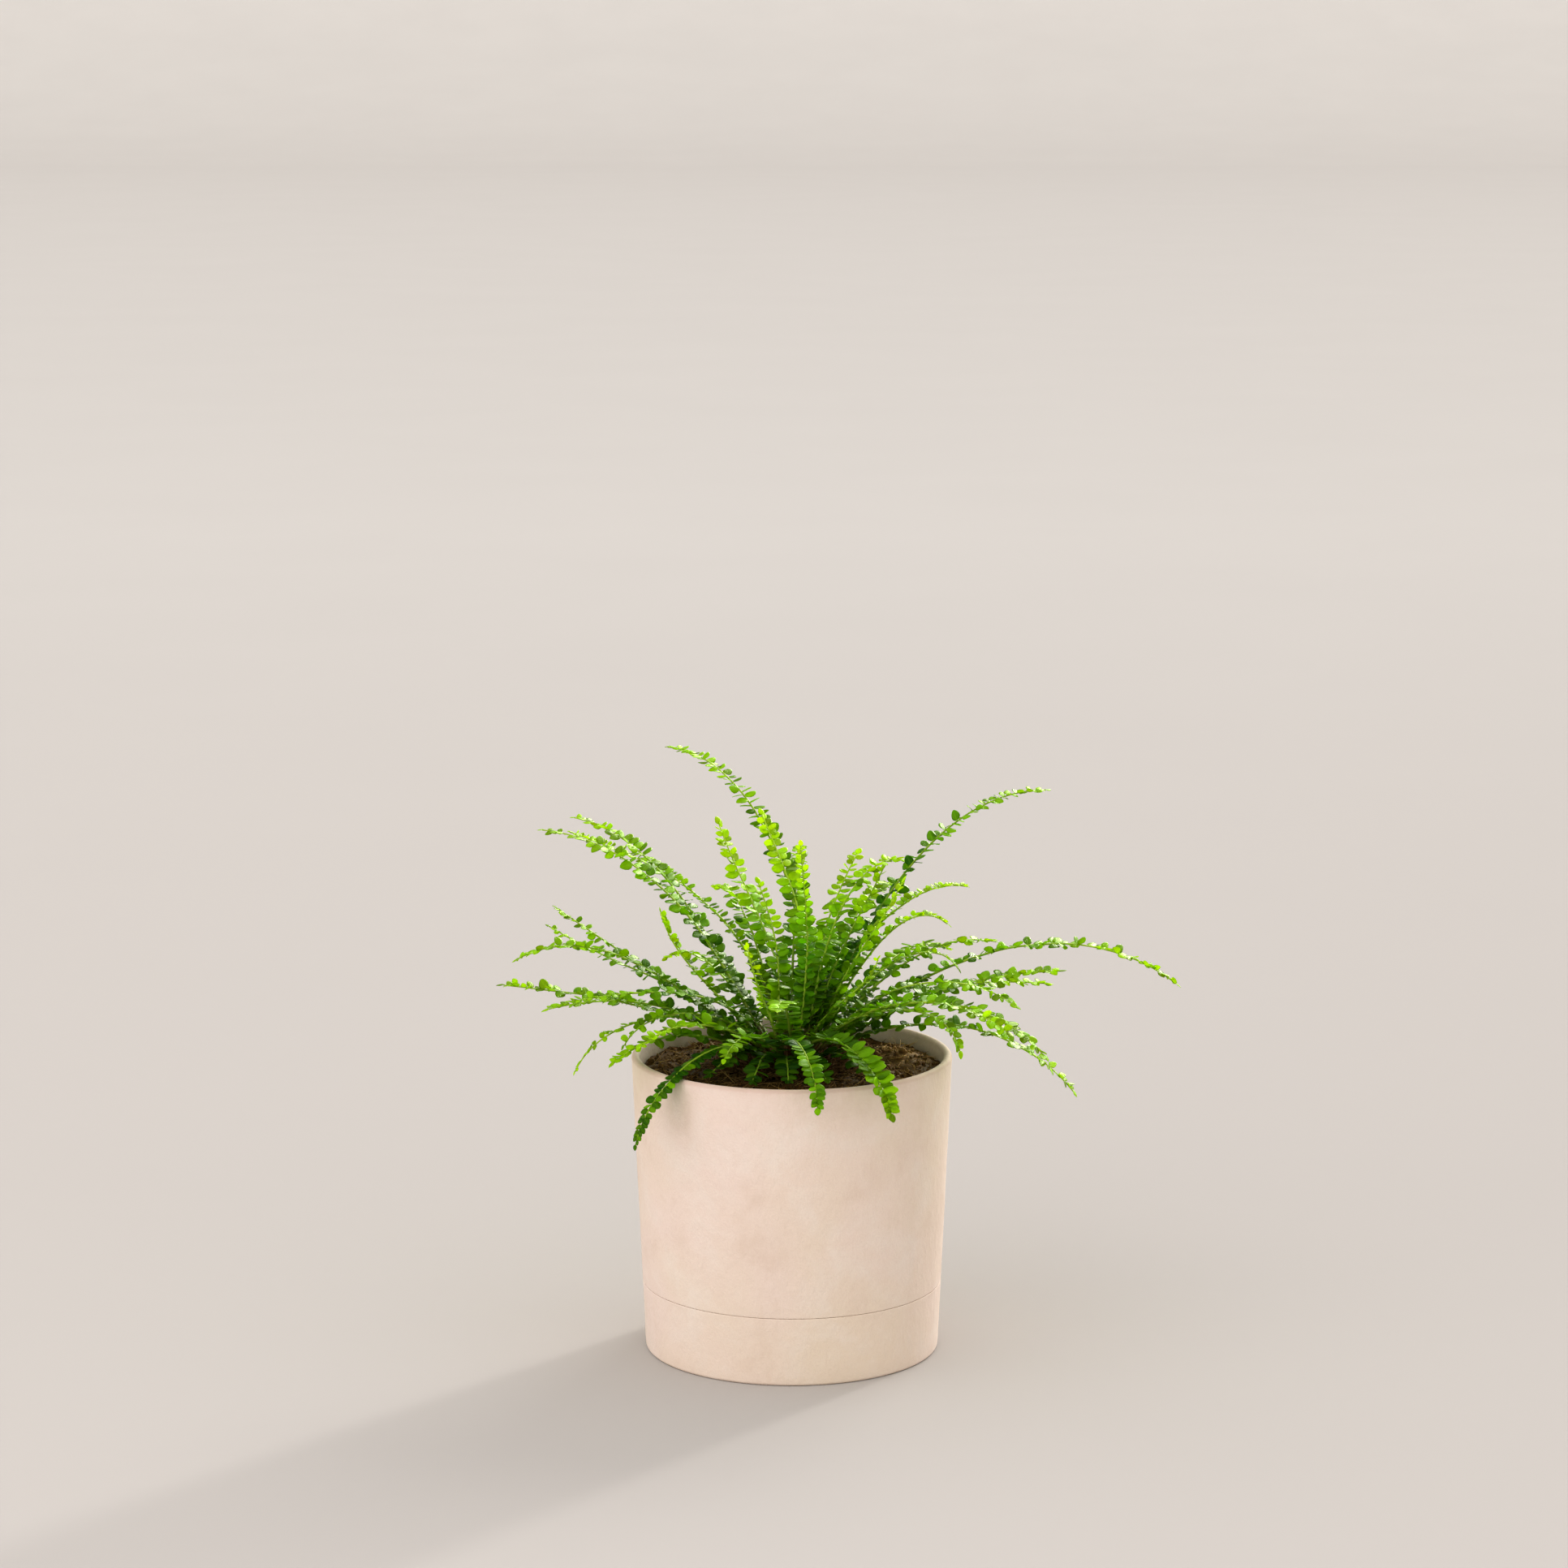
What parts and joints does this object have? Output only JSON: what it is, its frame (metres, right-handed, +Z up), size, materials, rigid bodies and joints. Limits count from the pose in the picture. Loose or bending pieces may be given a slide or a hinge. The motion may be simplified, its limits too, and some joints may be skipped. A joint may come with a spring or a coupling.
{
  "type": "potted button fern",
  "caption": "Young button fern with arching fronds of small round leaflets, growing in a straight-sided matte clay-coloured pot that stands in a flush saucer.",
  "frame": {"origin": "centre of the saucer's flat underside", "axes": "+Z up along the pot's axis, -Y towards the viewer of the main picture, +X to that viewer's right"},
  "size_m": [0.3258, 0.2287, 0.2761],
  "materials": {
    "matte_clay": "matte, faintly mottled fired clay",
    "potting_soil": "rough moist fibrous soil",
    "crown_scales": "rough brown scales",
    "old_frond": "satin leaf, deep green",
    "young_frond": "satin leaf, bright yellow-green"
  },
  "bodies": {
    "root": {"crown": "crown_scales", "frond_arching_right": "young_frond", "frond_back_droop_left": "old_frond", "frond_back_droop_right": "old_frond", "frond_back_high": "old_frond", "frond_back_left": "old_frond", "frond_back_low": "old_frond", "frond_back_low_left": "old_frond", "frond_back_low_right": "old_frond", "frond_back_right": "old_frond", "frond_front_hanging": "old_frond", "frond_front_left_hanging": "old_frond", "frond_front_low_left": "old_frond", "frond_front_right_hanging": "old_frond", "frond_front_towards": "old_frond", "frond_front_tuft_far_left": "old_frond", "frond_front_tuft_far_right": "old_frond", "frond_front_tuft_left": "old_frond", "frond_front_tuft_middle": "old_frond", "frond_front_tuft_right": "old_frond", "frond_left_back_long": "old_frond", "frond_left_droop": "old_frond", "frond_left_edge": "old_frond", "frond_left_front_bright": "old_frond", "frond_left_front_low": "old_frond", "frond_left_high": "old_frond", "frond_left_high_back": "old_frond", "frond_left_level": "old_frond", "frond_left_long": "old_frond", "frond_left_low": "old_frond", "frond_left_low_front": "old_frond", "frond_left_rising": "old_frond", "frond_left_short_droop": "old_frond", "frond_left_upright": "old_frond", "frond_right_arch": "old_frond", "frond_right_curl": "old_frond", "frond_right_droop": "old_frond", "frond_right_front": "old_frond", "frond_right_front_droop": "old_frond", "frond_right_level": "old_frond", "frond_right_long": "old_frond", "frond_right_low_back": "old_frond", "frond_right_middle_back": "old_frond", "frond_right_middle_front": "old_frond", "frond_right_short_droop": "old_frond", "frond_right_white": "old_frond", "frond_short_front_left": "young_frond", "frond_short_front_right": "young_frond", "frond_tall_bright": "young_frond", "frond_tall_left": "old_frond", "frond_tall_right": "old_frond", "frond_upright_far_right": "young_frond", "frond_upright_left": "young_frond", "frond_upright_mid_left": "young_frond", "frond_upright_middle": "young_frond", "frond_upright_near_right": "young_frond", "frond_upright_right": "young_frond", "pot": "matte_clay", "saucer": "matte_clay", "soil": "potting_soil"}
  },
  "joints": []
}
